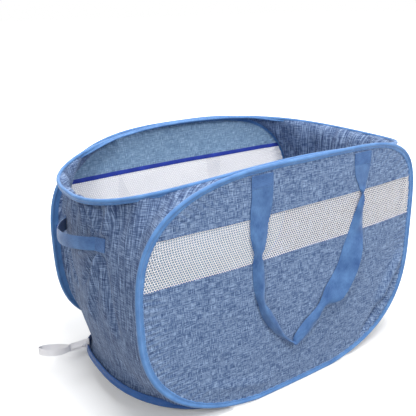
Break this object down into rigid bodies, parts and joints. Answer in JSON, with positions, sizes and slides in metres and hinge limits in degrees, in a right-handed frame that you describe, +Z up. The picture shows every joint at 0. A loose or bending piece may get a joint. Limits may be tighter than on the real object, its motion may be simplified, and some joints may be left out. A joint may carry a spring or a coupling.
{
  "type": "pop up laundry hamper",
  "caption": "Folding fabric laundry hamper with sprung wire loops in bindings, net bands, long carrying handles, end grips and an elastic tie.",
  "frame": {"origin": "middle of the whole hamper seen from above, on the surface that it stands on", "axes": "+X along the width, to the right seen from the front; +Y from the front panel to the back panel; +Z up"},
  "size_m": [0.676, 0.3762, 0.3922],
  "materials": {
    "binding": "satin polyester binding tape, light blue",
    "wire": "bright spring steel",
    "cloth": "heathered blue woven polyester, matt",
    "net": "open white polyester net",
    "seam_tape": "royal blue seam tape",
    "webbing": "light blue woven webbing",
    "elastic": "white braided elastic"
  },
  "bodies": {
    "base": {"base_binding": "binding", "base_wire": "wire", "base_wire_sleeve": "wire", "base_panel": "cloth", "left_gusset": "cloth", "right_gusset": "cloth"},
    "front": {"front_binding": "binding", "front_wire": "wire", "front_wire_sleeve": "wire", "front_upper_fabric": "cloth", "front_net_band": "net", "front_lower_fabric": "cloth", "front_upper_seam_tape": "seam_tape", "front_lower_seam_tape": "seam_tape", "front_handle_tail_left": "webbing", "front_handle_tail_right": "webbing"},
    "back": {"back_binding": "binding", "back_wire": "wire", "back_wire_sleeve": "wire", "back_upper_fabric": "cloth", "back_net_band": "net", "back_lower_fabric": "cloth", "back_upper_seam_tape": "seam_tape", "back_lower_seam_tape": "seam_tape", "back_handle_tail_left": "webbing", "back_handle_tail_right": "webbing"},
    "rim": {"rim_binding": "binding", "rim_wire": "wire", "rim_wire_sleeve": "wire"},
    "front_handle": {"front_handle": "webbing"},
    "back_handle": {"back_handle": "webbing"},
    "left_grip_mount": {"left_grip_patch_front": "webbing", "left_grip_patch_rear": "webbing"},
    "right_grip_mount": {"right_grip_patch_front": "webbing", "right_grip_patch_rear": "webbing"},
    "left_grip": {"left_grip": "webbing"},
    "right_grip": {"right_grip": "webbing"},
    "tie_loop": {"tie_loop": "elastic"}
  },
  "joints": [
    {"name": "fold", "type": "hinge", "parent": "base", "child": "front", "pos_m": [0.0129, -0.17115, 0.00312], "axis": [-1, 0, 0], "range_deg": [0, 45], "stiffness_Nm_per_rad": 6, "deforming": ["left_gusset", "right_gusset"]},
    {"name": "back_fold", "type": "hinge", "parent": "base", "child": "back", "pos_m": [0.0129, 0.16805, -0.00188], "axis": [-1, 0, 0], "range_deg": [0, 45]},
    {"name": "rim_level", "type": "hinge", "parent": "front", "child": "rim", "pos_m": [0.0129, -0.16655, 0.38912], "axis": [1, 0, 0], "range_deg": [0, 45]},
    {"name": "left_grip_level", "type": "hinge", "parent": "front", "child": "left_grip_mount", "pos_m": [-0.2571, -0.16802, 0.26602], "axis": [1, 0, 0], "range_deg": [0, 45]},
    {"name": "right_grip_level", "type": "hinge", "parent": "front", "child": "right_grip_mount", "pos_m": [0.2979, -0.16802, 0.26602], "axis": [1, 0, 0], "range_deg": [0, 45]},
    {"name": "left_grip_lift", "type": "hinge", "parent": "left_grip_mount", "child": "left_grip", "pos_m": [-0.26958, 0.02877, 0.28106], "axis": [0.052, 0.9886, -0.1412], "range_deg": [0, 40]},
    {"name": "right_grip_lift", "type": "hinge", "parent": "right_grip_mount", "child": "right_grip", "pos_m": [0.30615, 0.02878, 0.281], "axis": [0.0734, -0.9873, 0.1408], "range_deg": [0, 40]},
    {"name": "front_handle_swing", "type": "hinge", "parent": "front", "child": "front_handle", "pos_m": [0.0414, -0.17775, 0.35902], "axis": [-1, 0, 0], "range_deg": [0, 180]},
    {"name": "back_handle_swing", "type": "hinge", "parent": "back", "child": "back_handle", "pos_m": [-0.0156, 0.18355, 0.35002], "axis": [1, 0, 0], "range_deg": [0, 180]},
    {"name": "tie_swing", "type": "hinge", "parent": "base", "child": "tie_loop", "pos_m": [-0.2582, 0.061, 0.0534], "axis": [0.2961, 0.9552, 0], "range_deg": [0, 75]}
  ],
  "couplings": [
    {"joint": "back_fold", "follows": "fold", "ratio": 1},
    {"joint": "rim_level", "follows": "fold", "ratio": 1},
    {"joint": "left_grip_level", "follows": "fold", "ratio": 1},
    {"joint": "right_grip_level", "follows": "fold", "ratio": 1}
  ]
}
